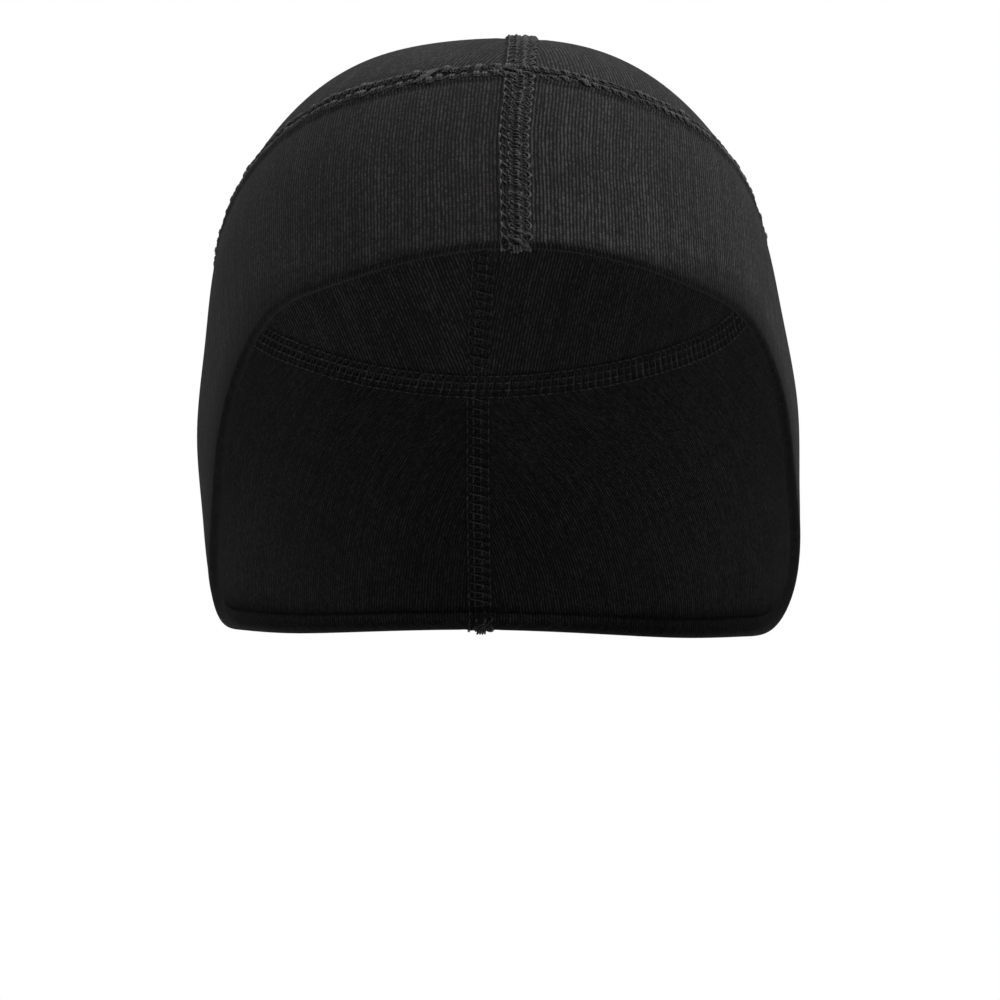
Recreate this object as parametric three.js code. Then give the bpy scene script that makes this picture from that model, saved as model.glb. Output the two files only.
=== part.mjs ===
// A knit helmet liner cap: two crown panels and two band panels of stretch knit,
// joined by wide flat seams, with a turned-in hem round the face and neck.
// Millimetres and degrees, +Z up, the face opening towards -Y. Left is -X.
// The origin is the inside of the crown, where the top of the head bears.

import * as THREE from 'three';

// Outside of the filled cap, measured from the middle of the head
const halfWidth = 72;
const crownHeight = 92;
const frontReach = 97.5;
const backReach = 98;

// How far the crown leans over to -X, as the cap is worn
const crownLean = 3;

// The ear presses the knit out in one soft bulge on each side
const earBulge = 1.5;
const earDown = 98;
const earRound = 95;
const earSpread = 17;

// Knit, hem and seams
const knitWall = 1.3;
const hemTurn = 5;
const hemStep = 1.5;
const hemBulge = 0.35;
const hemWall = 2.4;
const seamWidth = 6.4;
const seamProud = 0.45;
const seamInside = 0.3;
const gap = 0.3;

// Angles down from the crown: the cross seam in front and at the back,
// and the hem at the brow, under the ear and at the nape
const seamFront = 39.7;
const seamBack = 81;
const hemBrow = 70.5;
const hemEar = 127.5;
const hemNape = 123;

// How far the centre seam wanders to +X at most, in degrees
const seamWander = 1;

// Fullness of the head by angle down from the crown, as shares of a plain ellipsoid
const fullness = [
  { down: 0, side: 1, front: 1, back: 1 },
  { down: 18, side: 1.042, front: 1.016, back: 1.02 },
  { down: 36, side: 1.06, front: 1.045, back: 1.032 },
  { down: 54, side: 1.044, front: 1.03, back: 1.035 },
  { down: 72, side: 1, front: 1.012, back: 1.026 },
  { down: 90, side: 1, front: 1, back: 1.01 },
  { down: 105, side: 1.015, front: 0.99, back: 1 },
  { down: 120, side: 1.07, front: 0.985, back: 0.985 },
  { down: 135, side: 1.085, front: 0.985, back: 0.985 },
];

// Fall of the cross seam from its front to its back, by angle round from the front
const seamFall = [
  { round: 0, fall: 0 },
  { round: 25, fall: 0.025 },
  { round: 50, fall: 0.055 },
  { round: 75, fall: 0.215 },
  { round: 100, fall: 0.54 },
  { round: 140, fall: 0.855 },
  { round: 180, fall: 1 },
];

// Fall of the hem from the brow to the ear, and its rise from there to the nape
const hemFall = [
  { round: 0, fall: 0, rise: 0 },
  { round: 15, fall: 0.018, rise: 0 },
  { round: 30, fall: 0.054, rise: 0 },
  { round: 45, fall: 0.125, rise: 0 },
  { round: 55, fall: 0.295, rise: 0 },
  { round: 65, fall: 0.54, rise: 0 },
  { round: 75, fall: 0.77, rise: 0 },
  { round: 85, fall: 0.92, rise: 0 },
  { round: 95, fall: 0.985, rise: 0 },
  { round: 110, fall: 1, rise: 0 },
  { round: 135, fall: 1, rise: 0.2 },
  { round: 180, fall: 1, rise: 1 },
];

// Wander of the centre seam along the crown: brow is negative, back positive
const seamPath = [
  { along: -90, wander: -1.3 },
  { along: -75, wander: -1.1 },
  { along: -62, wander: -0.8 },
  { along: -54, wander: -0.65 },
  { along: -48, wander: -0.05 },
  { along: -42, wander: 0.6 },
  { along: -32, wander: 1.55 },
  { along: -18, wander: 2.4 },
  { along: 0, wander: 2.5 },
  { along: 30, wander: 1.7 },
  { along: 60, wander: 0.6 },
  { along: 81, wander: 0 },
];
const wanderFade = 60;

// Section of a seam: places across its half width and the share of its height there
const seamSection = [
  { across: -1, height: 0.25 },
  { across: -0.78, height: 1 },
  { across: 0, height: 0.9 },
  { across: 0.78, height: 1 },
  { across: 1, height: 0.25 },
];

// Fineness of the faceted surfaces
const bandColumns = 32;
const bandRows = 9;
const crownColumns = 24;
const crownRows = 12;
const ringStations = 96;
const stripRows = 8;
const hemRoundAngles = [75, 45, 15];

const degree = Math.PI / 180;

// A smooth curve through a table, level at its start and, if asked, at its end
function curveThrough(rows, at, value, levelEnd) {
  const x = rows.map((row) => row[at]);
  const y = rows.map((row) => row[value]);
  const last = x.length - 1;
  const slopes = new Array(last + 1).fill(0);
  const carry = new Array(last + 1).fill(0);
  for (let i = 1; i <= last; i += 1) {
    const before = 1 / (x[i] - x[i - 1]);
    const after = i < last ? 1 / (x[i + 1] - x[i]) : 0;
    const riseBefore = 3 * (y[i] - y[i - 1]) * before * before;
    const riseAfter = i < last ? 3 * (y[i + 1] - y[i]) * after * after : 0;
    const pivot = 2 * (before + after) - before * carry[i - 1];
    carry[i] = after / pivot;
    slopes[i] = (riseBefore + riseAfter - before * slopes[i - 1]) / pivot;
  }
  if (levelEnd) {
    slopes[last] = 0;
  }
  for (let i = last - 1; i > 0; i -= 1) {
    slopes[i] -= carry[i] * slopes[i + 1];
  }
  return (t) => {
    const place = THREE.MathUtils.clamp(t, x[0], x[last]);
    let i = 0;
    while (i < last - 1 && place > x[i + 1]) {
      i += 1;
    }
    const span = x[i + 1] - x[i];
    const u = (place - x[i]) / span;
    const bend = (slopes[i] + slopes[i + 1]) * span - 2 * (y[i + 1] - y[i]);
    const rest = y[i + 1] - y[i] - slopes[i] * span - bend;
    return y[i] + u * (slopes[i] * span + u * (rest + u * bend));
  };
}

const sideFullness = curveThrough(fullness, 'down', 'side', false);
const frontFullness = curveThrough(fullness, 'down', 'front', false);
const backFullness = curveThrough(fullness, 'down', 'back', false);
const seamShare = curveThrough(seamFall, 'round', 'fall', true);
const hemShare = curveThrough(hemFall, 'round', 'fall', true);
const napeShare = curveThrough(hemFall, 'round', 'rise', true);
const wanderShare = curveThrough(seamPath, 'along', 'wander', true);

function plainRadius(reach, down) {
  return 1 / Math.hypot(Math.sin(down) / reach, Math.cos(down) / crownHeight);
}

// Distance from the middle of the head to the outside of the knit, in one direction
function headRadius(direction) {
  const lean = crownLean * degree;
  const x = direction.x * Math.cos(lean) + direction.z * Math.sin(lean);
  const y = direction.y;
  const z = direction.z * Math.cos(lean) - direction.x * Math.sin(lean);
  const down = Math.acos(THREE.MathUtils.clamp(z, -1, 1));
  const level = Math.max(Math.hypot(x, y), 1e-9);
  const reach = y < 0 ? frontReach : backReach;
  const lengthFullness = y < 0 ? frontFullness : backFullness;
  const side = plainRadius(halfWidth, down) * sideFullness(down / degree);
  const length = plainRadius(reach, down) * lengthFullness(down / degree);
  const radius = 1 / Math.hypot(x / level / side, y / level / length);
  const ear = spotDirection(spotAt(earDown, earRound));
  const fromEar = (Math.abs(x) - ear.x) ** 2 + (y - ear.y) ** 2 + (z - ear.z) ** 2;
  return radius + earBulge * Math.exp(-fromEar / (2 * (earSpread * degree) ** 2));
}

// A spot is a place on the head: degrees to +X and towards the back on a flat map
// whose middle is the crown
function spotAt(down, round) {
  return { x: down * Math.sin(round * degree), y: -down * Math.cos(round * degree) };
}

function spotDirection(spot) {
  const down = Math.hypot(spot.x, spot.y) * degree;
  const spread = down < 1e-9 ? degree : (Math.sin(down) / down) * degree;
  return new THREE.Vector3(spot.x * spread, spot.y * spread, Math.cos(down));
}

function spotRadius(spot) {
  return headRadius(spotDirection(spot));
}

// The centre seam wanders a little, and draws the knit beside it along
function wander(spot) {
  const fade = Math.max(0, 1 - (spot.x / wanderFade) ** 2) ** 2;
  return { x: spot.x + seamWander * wanderShare(spot.y) * fade, y: spot.y };
}

function outsidePoint(spot) {
  const direction = spotDirection(wander(spot));
  return direction.multiplyScalar(headRadius(direction));
}

// A point of the cloth, this many millimetres under the outside of the knit
function clothPoint(spot, depth) {
  const step = 0.2;
  const ahead = outsidePoint({ x: spot.x + step, y: spot.y });
  const behind = outsidePoint({ x: spot.x - step, y: spot.y });
  const farther = outsidePoint({ x: spot.x, y: spot.y + step });
  const nearer = outsidePoint({ x: spot.x, y: spot.y - step });
  const outwards = ahead.sub(behind).cross(farther.sub(nearer)).normalize();
  return outsidePoint(spot).addScaledVector(outwards, -depth);
}

function seamDown(round) {
  return seamFront + (seamBack - seamFront) * seamShare(Math.abs(round));
}

function hemDown(round) {
  const turn = Math.abs(round);
  return hemBrow + (hemEar - hemBrow) * hemShare(turn) + (hemNape - hemEar) * napeShare(turn);
}

// Degrees down the head that stand for a distance square to a line that falls
function downFor(distance, line, round) {
  const step = 0.5;
  const down = line(round);
  const fall = (line(round + step) - line(round - step)) / (2 * step);
  const slant = Math.hypot(1, fall / Math.sin(down * degree));
  return (distance * slant) / (spotRadius(spotAt(down, round)) * degree);
}

// Line beside the cross seam, a distance below its middle, and line above the hem
function besideSeam(round, distance) {
  return seamDown(round) + downFor(distance, seamDown, round);
}

function aboveHem(round, distance) {
  return hemDown(round) - downFor(distance, hemDown, round);
}

// Degrees to the side that stand for a distance from the centre line of the cap
function besideCentre(down, distance, facing) {
  const spread = down === 0 ? 1 : Math.sin(down * degree) / (down * degree);
  const radius = spotRadius({ x: 0, y: facing * down });
  return distance / (radius * degree * spread);
}

function roundBesideCentre(down, distance, facing) {
  return Math.asin(besideCentre(down, distance, facing) / down) / degree;
}

// Cloth from the cross seam down to the hem: above is the distance from the edge,
// share the place between the cross seam and the hem's turn
function bandLayers(rows) {
  const layers = [];
  for (let i = 0; i <= rows; i += 1) {
    layers.push({ share: i / rows, outer: 0, inner: knitWall });
  }
  const inner = hemWall - hemBulge;
  const half = hemWall / 2;
  layers.push({ above: hemTurn, outer: -hemBulge, inner });
  layers.push({ above: half, outer: -hemBulge, inner });
  for (const angle of hemRoundAngles) {
    const reach = half * Math.sin(angle * degree);
    const middle = half - hemBulge;
    const above = half * (1 - Math.cos(angle * degree));
    layers.push({ above, outer: middle - reach, inner: middle + reach });
  }
  return layers;
}

function layerDown(layer, round) {
  if (layer.above !== undefined) {
    return aboveHem(round, layer.above);
  }
  const top = besideSeam(round, seamWidth / 2 + gap);
  const bottom = aboveHem(round, hemTurn + hemStep);
  return THREE.MathUtils.lerp(top, bottom, layer.share);
}

// Closed solid between an outer and an inner grid of points
function solidBetween(outer, inner, loops) {
  const rows = outer.length;
  const columns = outer[0].length;
  const positions = [...outer.flat(), ...inner.flat()].flatMap((point) => point.toArray());
  const faces = [];
  const corner = (i, j, side) => side * rows * columns + (i % rows) * columns + j;
  const quad = (a, b, c, d) => faces.push(a, b, c, a, c, d);
  const spans = loops ? rows : rows - 1;
  for (let i = 0; i < spans; i += 1) {
    for (let j = 0; j < columns - 1; j += 1) {
      quad(corner(i, j, 0), corner(i, j + 1, 0), corner(i + 1, j + 1, 0), corner(i + 1, j, 0));
      quad(corner(i, j, 1), corner(i + 1, j, 1), corner(i + 1, j + 1, 1), corner(i, j + 1, 1));
    }
    const far = columns - 1;
    quad(corner(i, 0, 0), corner(i + 1, 0, 0), corner(i + 1, 0, 1), corner(i, 0, 1));
    quad(corner(i, far, 0), corner(i, far, 1), corner(i + 1, far, 1), corner(i + 1, far, 0));
  }
  if (!loops) {
    const last = rows - 1;
    for (let j = 0; j < columns - 1; j += 1) {
      quad(corner(0, j, 0), corner(0, j, 1), corner(0, j + 1, 1), corner(0, j + 1, 0));
      quad(corner(last, j, 0), corner(last, j + 1, 0), corner(last, j + 1, 1), corner(last, j, 1));
    }
  }
  return facingOut(positions, faces);
}

function facingOut(positions, faces) {
  let volume = 0;
  const at = (index) => new THREE.Vector3().fromArray(positions, 3 * index);
  for (let i = 0; i < faces.length; i += 3) {
    volume += at(faces[i]).dot(at(faces[i + 1]).cross(at(faces[i + 2])));
  }
  const geometry = new THREE.BufferGeometry();
  geometry.setAttribute('position', new THREE.Float32BufferAttribute(positions, 3));
  geometry.setIndex(volume > 0 ? faces : faces.reverse());
  geometry.computeVertexNormals();
  return geometry;
}

// One side of the band, from the front seam round the ear to the back seam
function bandPanel(side) {
  const clear = seamWidth / 2 + gap;
  const grids = [[], []];
  for (const layer of bandLayers(bandRows)) {
    const outer = [];
    const inner = [];
    for (let j = 0; j <= bandColumns; j += 1) {
      let round = (180 * j) / bandColumns;
      let down = layerDown(layer, round);
      for (let pass = 0; pass < 3; pass += 1) {
        const start = roundBesideCentre(down, clear, -1);
        const end = 180 - roundBesideCentre(down, clear, 1);
        round = THREE.MathUtils.lerp(start, end, j / bandColumns);
        down = layerDown(layer, round);
      }
      const spot = spotAt(down, side * round);
      outer.push(clothPoint(spot, layer.outer));
      inner.push(clothPoint(spot, layer.inner));
    }
    grids[0].push(outer);
    grids[1].push(inner);
  }
  return solidBetween(grids[0], grids[1], false);
}

// Where the edge of a crown panel turns from the cross seam to the centre seam
function crownCorner(facing) {
  const clear = seamWidth / 2 + gap;
  let round = 0;
  for (let pass = 0; pass < 3; pass += 1) {
    const turn = facing < 0 ? round : 180 - round;
    round = roundBesideCentre(besideSeam(turn, -clear), clear, facing);
  }
  return facing < 0 ? round : 180 - round;
}

// One side of the crown, between the centre seam and the cross seam
function crownPanel(side) {
  const clear = seamWidth / 2 + gap;
  const frontRound = crownCorner(-1);
  const backRound = crownCorner(1);
  const rimSpot = (round) => spotAt(besideSeam(round, -clear), round);
  const centreSpot = (along) => {
    return { x: besideCentre(Math.abs(along), clear, Math.sign(along)), y: along };
  };
  const frontAlong = rimSpot(frontRound).y;
  const backAlong = rimSpot(backRound).y;
  const rimFront = 45;
  const rimBack = 135;
  const mix = THREE.MathUtils.lerp;
  const outer = [];
  const inner = [];
  for (let i = 0; i <= crownColumns; i += 1) {
    const t = i / crownColumns;
    const centre = centreSpot(mix(frontAlong, backAlong, t));
    const far = rimSpot(mix(rimFront, rimBack, t));
    const outerRow = [];
    const innerRow = [];
    for (let j = 0; j <= crownRows; j += 1) {
      const s = j / crownRows;
      const front = rimSpot(mix(frontRound, rimFront, s));
      const back = rimSpot(mix(backRound, rimBack, s));
      const blend = (axis) => {
        const across = mix(centre[axis], far[axis], s);
        const along = mix(front[axis], back[axis], t);
        const nearCorners = mix(rimSpot(frontRound)[axis], rimSpot(backRound)[axis], t);
        const farCorners = mix(rimSpot(rimFront)[axis], rimSpot(rimBack)[axis], t);
        return across + along - mix(nearCorners, farCorners, s);
      };
      const spot = { x: side * blend('x'), y: blend('y') };
      outerRow.push(clothPoint(spot, 0));
      innerRow.push(clothPoint(spot, knitWall));
    }
    outer.push(outerRow);
    inner.push(innerRow);
  }
  return solidBetween(outer, inner, false);
}

// A seam strip from a list of stations, each giving the spot for a place across it
// and the depths of the cloth that it joins
function seamStrip(stations, loops) {
  const outer = [];
  const inner = [];
  for (const station of stations) {
    const outerRow = [];
    const innerRow = [];
    for (const place of seamSection) {
      const spot = station.spot((place.across * seamWidth) / 2);
      outerRow.push(clothPoint(spot, station.outer - seamProud * place.height));
      innerRow.push(clothPoint(spot, station.inner + seamInside * place.height));
    }
    outer.push(outerRow);
    inner.push(innerRow);
  }
  return solidBetween(outer, inner, loops);
}

// The flat seam round the cap, across the crown from ear to ear and round the back
function ringSeam() {
  const stations = [];
  for (let i = 0; i < ringStations; i += 1) {
    const round = (360 * i) / ringStations - 180;
    const spot = (across) => spotAt(besideSeam(round, across), round);
    stations.push({ spot, outer: 0, inner: knitWall });
  }
  return seamStrip(stations, true);
}

// The flat seam over the crown, between the front and the back of the cross seam
function crownSeam() {
  const stations = [];
  for (let i = 0; i <= crownColumns; i += 1) {
    const spot = (across) => {
      const clear = seamWidth / 2 + gap;
      const reach = (turn, facing) => {
        const down = besideSeam(turn, -clear);
        const aside = besideCentre(down, across, facing);
        return facing * Math.sqrt(down ** 2 - aside ** 2);
      };
      const along = THREE.MathUtils.lerp(reach(0, -1), reach(180, 1), i / crownColumns);
      return { x: besideCentre(Math.abs(along), across, Math.sign(along)), y: along };
    };
    stations.push({ spot, outer: 0, inner: knitWall });
  }
  return seamStrip(stations, false);
}

// The flat seam from the cross seam down to the hem, in front or at the back
function uprightSeam(facing) {
  const stations = bandLayers(stripRows).map((layer) => {
    const spot = (across) => {
      const straight = facing < 0 ? 0 : 180;
      const aside = roundBesideCentre(layerDown(layer, straight), across, facing);
      const round = facing < 0 ? aside : 180 - aside;
      return spotAt(layerDown(layer, round), round);
    };
    return { spot, outer: layer.outer, inner: layer.inner };
  });
  return seamStrip(stations, false);
}

const knit = { roughness: 0.95, metalness: 0 };
const crownKnit = new THREE.MeshStandardMaterial({ color: 0x2a2829, ...knit });
const bandKnit = new THREE.MeshStandardMaterial({ color: 0x232122, ...knit });
const seamThread = new THREE.MeshStandardMaterial({ color: 0x1c1b1b, ...knit });

const cap = new THREE.Group();
const seat = clothPoint({ x: 0, y: 0 }, knitWall + seamInside);

function addPiece(name, geometry, material) {
  const piece = new THREE.Mesh(geometry, material);
  piece.name = name;
  piece.position.copy(seat).negate();
  cap.add(piece);
}

addPiece('crown_left', crownPanel(-1), crownKnit);
addPiece('crown_right', crownPanel(1), crownKnit);
addPiece('band_left', bandPanel(-1), bandKnit);
addPiece('band_right', bandPanel(1), bandKnit);
addPiece('front_seam', uprightSeam(-1), seamThread);
addPiece('crown_seam', crownSeam(), seamThread);
addPiece('back_seam', uprightSeam(1), seamThread);
addPiece('ring_seam', ringSeam(), seamThread);

export default cap;
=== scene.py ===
import bpy
import numpy as np
from mathutils import Matrix


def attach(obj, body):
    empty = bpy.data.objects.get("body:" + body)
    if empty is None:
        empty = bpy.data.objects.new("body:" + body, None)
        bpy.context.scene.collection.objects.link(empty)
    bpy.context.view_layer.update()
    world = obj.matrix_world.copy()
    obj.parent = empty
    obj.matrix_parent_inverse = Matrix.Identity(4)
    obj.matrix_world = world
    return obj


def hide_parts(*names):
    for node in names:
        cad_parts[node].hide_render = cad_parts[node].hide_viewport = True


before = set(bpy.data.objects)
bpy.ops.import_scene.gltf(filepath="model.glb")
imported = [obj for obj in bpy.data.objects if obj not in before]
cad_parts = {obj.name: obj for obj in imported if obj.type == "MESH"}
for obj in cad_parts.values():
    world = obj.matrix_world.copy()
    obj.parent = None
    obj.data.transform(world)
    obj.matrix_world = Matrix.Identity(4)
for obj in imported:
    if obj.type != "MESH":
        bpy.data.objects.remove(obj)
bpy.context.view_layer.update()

MM = 0.001
DEGREE = np.pi / 180

# Outside of the filled cap, measured from the middle of the head
HALF_WIDTH = 72
CROWN_HEIGHT = 92
FRONT_REACH = 97.5
BACK_REACH = 98
CROWN_LEAN = 3
EAR_BULGE = 1.5
EAR_DOWN = 98
EAR_ROUND = 95
EAR_SPREAD = 17

# Knit, hem and seams
KNIT_WALL = 1.3
HEM_TURN = 5
HEM_STEP = 1.0
HEM_BULGE = 0.35
HEM_WALL = 2.4
SEAM_INSIDE = 0.3
SEAM_FRONT = 39.7
SEAM_BACK = 81
HEM_BROW = 70.5
HEM_EAR = 127.5
HEM_NAPE = 123
SEAM_WANDER = 1
WANDER_FADE = 60

# Fullness of the head: angle down from the crown, then shares at the side, front and back
FULLNESS = [
    (0, 1, 1, 1), (18, 1.042, 1.016, 1.02), (36, 1.06, 1.045, 1.032),
    (54, 1.044, 1.03, 1.035), (72, 1, 1.012, 1.026), (90, 1, 1, 1.01),
    (105, 1.015, 0.99, 1), (120, 1.07, 0.985, 0.985), (135, 1.085, 0.985, 0.985),
]

# Fall of the cross seam by angle round from the front
SEAM_FALL = [(0, 0), (25, 0.025), (50, 0.055), (75, 0.215), (100, 0.54), (140, 0.855), (180, 1)]

# Fall of the hem from the brow to the ear, and its rise from there to the nape
HEM_FALL = [
    (0, 0, 0), (15, 0.018, 0), (30, 0.054, 0), (45, 0.125, 0), (55, 0.295, 0), (65, 0.54, 0),
    (75, 0.77, 0), (85, 0.92, 0), (95, 0.985, 0), (110, 1, 0), (135, 1, 0.2), (180, 1, 1),
]

# Wander of the centre seam along the crown: the brow is negative, the back positive
SEAM_PATH = [
    (-90, -1.3), (-75, -1.1), (-62, -0.8), (-54, -0.65), (-48, -0.05), (-42, 0.6),
    (-32, 1.55), (-18, 2.4), (0, 2.5), (30, 1.7), (60, 0.6), (81, 0),
]

# Relief of the cloth over a seam: a raised bed with a groove in its middle, a dip to
# both sides, and a lower bed inside
BED_HEIGHT = 0.35
BED_FLAT = 2.9
BED_EDGE = 3.7
BED_DIP = 0.12
BED_DIP_AT = 4.4
BED_DIP_WIDTH = 0.9
BED_GROOVE = 0.22
BED_GROOVE_WIDTH = 0.35
BED_INSIDE = 0.15

# Under the stitches each panel runs past the seam's middle by the lap, and from just
# before it ducks below its neighbour
EDGE_LAP = 0.2
EDGE_DUCK = 0.5
EDGE_DUCK_FROM = -0.1

# Fineness of the panels: lines of points, and how much those bunch at both ends
BAND_COLUMNS = 280
BAND_COLUMN_PULL = 0.55
BAND_ROWS = 84
BAND_ROW_PULL = 0.8
CROWN_COLUMNS = 210
CROWN_COLUMN_PULL = 0.5
CROWN_ROWS = 84
CROWN_ROW_PULL = 0.75
HEM_STEPS = 6
HEM_TIP_GAP = 0.06
SHARP_ANGLE = 60

# Rounds in which a panel's corners settle on a seam, and the least that is divided by
ROUNDS = 4
TINY = 1e-9


def mix(a, b, share):
    return a + (b - a) * share


def ease(low, high, value):
    """Smooth rise from 0 at low to 1 at high."""
    share = np.clip((value - low) / (high - low), 0, 1)
    return share * share * (3 - 2 * share)


def curve_through(rows, column, level_end=False):
    """A smooth curve through a table's column, level at its start and, if asked, its end."""
    x = np.array([row[0] for row in rows], float)
    y = np.array([row[column] for row in rows], float)
    last = len(x) - 1
    spans = np.diff(x)
    rises = np.diff(y) / spans
    weights = np.zeros((last + 1, last + 1))
    wanted = np.zeros(last + 1)
    weights[0, 0] = 1
    for i in range(1, last + 1):
        weights[i, i - 1] = 1 / spans[i - 1]
        weights[i, i] = 2 / spans[i - 1]
        wanted[i] = 3 * rises[i - 1] / spans[i - 1]
        if i < last:
            weights[i, i] += 2 / spans[i]
            weights[i, i + 1] = 1 / spans[i]
            wanted[i] += 3 * rises[i] / spans[i]
    if level_end:
        weights[last] = 0
        weights[last, last] = 1
        wanted[last] = 0
    slopes = np.linalg.solve(weights, wanted)

    def curve(t):
        place = np.clip(t, x[0], x[-1])
        i = np.clip(np.searchsorted(x, place) - 1, 0, last - 1)
        span = spans[i]
        u = (place - x[i]) / span
        bend = (slopes[i] + slopes[i + 1]) * span - 2 * (y[i + 1] - y[i])
        rest = y[i + 1] - y[i] - slopes[i] * span - bend
        return y[i] + u * (slopes[i] * span + u * (rest + u * bend))

    return curve


side_fullness = curve_through(FULLNESS, 1)
front_fullness = curve_through(FULLNESS, 2)
back_fullness = curve_through(FULLNESS, 3)
seam_share = curve_through(SEAM_FALL, 1, level_end=True)
hem_share = curve_through(HEM_FALL, 1, level_end=True)
nape_share = curve_through(HEM_FALL, 2, level_end=True)
wander_share = curve_through(SEAM_PATH, 1, level_end=True)


def plain_radius(reach, down):
    """Radius of an ellipse with this reach to the side and the crown's height."""
    return 1 / np.hypot(np.sin(down) / reach, np.cos(down) / CROWN_HEIGHT)


def sine_share(angle):
    """The sine of an angle divided by the angle."""
    return np.where(angle < TINY, 1, np.sin(angle) / np.maximum(angle, TINY))


def spot_at(down, turn):
    """The spot this far down from the crown and round from the front."""
    return down * np.sin(turn * DEGREE), -down * np.cos(turn * DEGREE)


def spot_direction(x, y):
    """Direction from the middle of the head to a spot."""
    down = np.hypot(x, y) * DEGREE
    spread = sine_share(down) * DEGREE
    return np.stack([x * spread, y * spread, np.cos(down)], -1)


EAR = spot_direction(*spot_at(EAR_DOWN, EAR_ROUND))


def head_radius(direction):
    """Distance from the middle of the head to the outside of the knit."""
    lean = CROWN_LEAN * DEGREE
    x = direction[..., 0] * np.cos(lean) + direction[..., 2] * np.sin(lean)
    y = direction[..., 1]
    z = direction[..., 2] * np.cos(lean) - direction[..., 0] * np.sin(lean)
    down = np.arccos(np.clip(z, -1, 1))
    level = np.maximum(np.hypot(x, y), TINY)
    reach = np.where(y < 0, FRONT_REACH, BACK_REACH)
    angle = down / DEGREE
    length_fullness = np.where(y < 0, front_fullness(angle), back_fullness(angle))
    side = plain_radius(HALF_WIDTH, down) * side_fullness(angle)
    length = plain_radius(reach, down) * length_fullness
    radius = 1 / np.hypot(x / level / side, y / level / length)
    from_ear = (np.abs(x) - EAR[0]) ** 2 + (y - EAR[1]) ** 2 + (z - EAR[2]) ** 2
    return radius + EAR_BULGE * np.exp(-from_ear / (2 * (EAR_SPREAD * DEGREE) ** 2))


def spot_radius(x, y):
    return head_radius(spot_direction(x, y))


def outside_point(x, y):
    """The plain outside of the knit at a spot, with the wander of the centre seam."""
    fade = np.maximum(0, 1 - (x / WANDER_FADE) ** 2) ** 2
    direction = spot_direction(x + SEAM_WANDER * wander_share(y) * fade, y)
    return direction * head_radius(direction)[..., None]


def unit(vectors):
    return vectors / np.linalg.norm(vectors, axis=-1, keepdims=True)


def outwards(x, y):
    """Direction square to the cloth at a spot."""
    step = 0.2
    across = outside_point(x + step, y) - outside_point(x - step, y)
    along = outside_point(x, y + step) - outside_point(x, y - step)
    return unit(np.cross(across, along))


def cloth_point(x, y, height):
    return outside_point(x, y) + outwards(x, y) * np.asarray(height)[..., None]


def seam_down(turn):
    return mix(SEAM_FRONT, SEAM_BACK, seam_share(np.abs(turn)))


def hem_down(turn):
    reach = np.abs(turn)
    fall = (HEM_EAR - HEM_BROW) * hem_share(reach)
    return HEM_BROW + fall + (HEM_NAPE - HEM_EAR) * nape_share(reach)


def line_slant(line, turn):
    """How fast a line falls, as the tangent of its angle to the level."""
    step = 0.5
    fall = (line(turn + step) - line(turn - step)) / (2 * step)
    return fall / np.sin(line(turn) * DEGREE)


def degrees_down(line, turn):
    """Degrees down the head that stand for a millimetre square to a line."""
    down = line(turn)
    slant = np.hypot(1, line_slant(line, turn))
    return slant / (spot_radius(*spot_at(down, turn)) * DEGREE)


def beside_seam(turn, distance):
    return seam_down(turn) + distance * degrees_down(seam_down, turn)


def above_hem(turn, distance):
    return hem_down(turn) - distance * degrees_down(hem_down, turn)


def degrees_aside(along):
    """Degrees to the side that stand for a millimetre from the centre seam."""
    down = np.abs(along) * DEGREE
    return 1 / (spot_radius(np.zeros_like(down), along) * DEGREE * sine_share(down))


def seam_places(x, y):
    """Millimetres below the cross seam, to the side of the centre seam, above the hem."""
    down = np.hypot(x, y)
    turn = np.arctan2(x, -y) / DEGREE
    below = (down - seam_down(turn)) / degrees_down(seam_down, turn)
    aside = x / degrees_aside(y)
    above = (hem_down(turn) - down) / degrees_down(hem_down, turn)
    return below, aside, above


def bed(distance):
    """Height of the cloth over a seam, by distance from its middle."""
    reach = np.abs(distance)
    flat = BED_HEIGHT * (1 - ease(BED_FLAT, BED_EDGE, reach))
    dip = BED_DIP * np.exp(-(((reach - BED_DIP_AT) / BED_DIP_WIDTH) ** 2))
    groove = BED_GROOVE * np.exp(-((reach / BED_GROOVE_WIDTH) ** 2))
    return flat - dip - groove


# Puckers beside the seams: ripples across the pull of the stitches, with their lengths
# round the head measured at a radius
PUCKER_HEIGHT = 0.09
PUCKER_REACH = 3.2
PUCKER_LENGTHS = (4.3, 6.9, 11.7)
PUCKER_PHASE = 1.7
ROUND_RADIUS = 85


def puckers(along, distance):
    fade = np.exp(-(((np.abs(distance) - BED_EDGE) / PUCKER_REACH) ** 2))
    waves = sum(
        np.sin(2 * np.pi * along / length + PUCKER_PHASE * k)
        for k, length in enumerate(PUCKER_LENGTHS)
    )
    return PUCKER_HEIGHT * fade * waves / len(PUCKER_LENGTHS)


# The outside swells softly over the turned hem, and a faint ridge lies near its end
HEM_SWELL = 4.5
RIDGE_HEIGHT = 0.05
RIDGE_WIDTH = 0.9
RIDGE_INSET = 0.5


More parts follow.
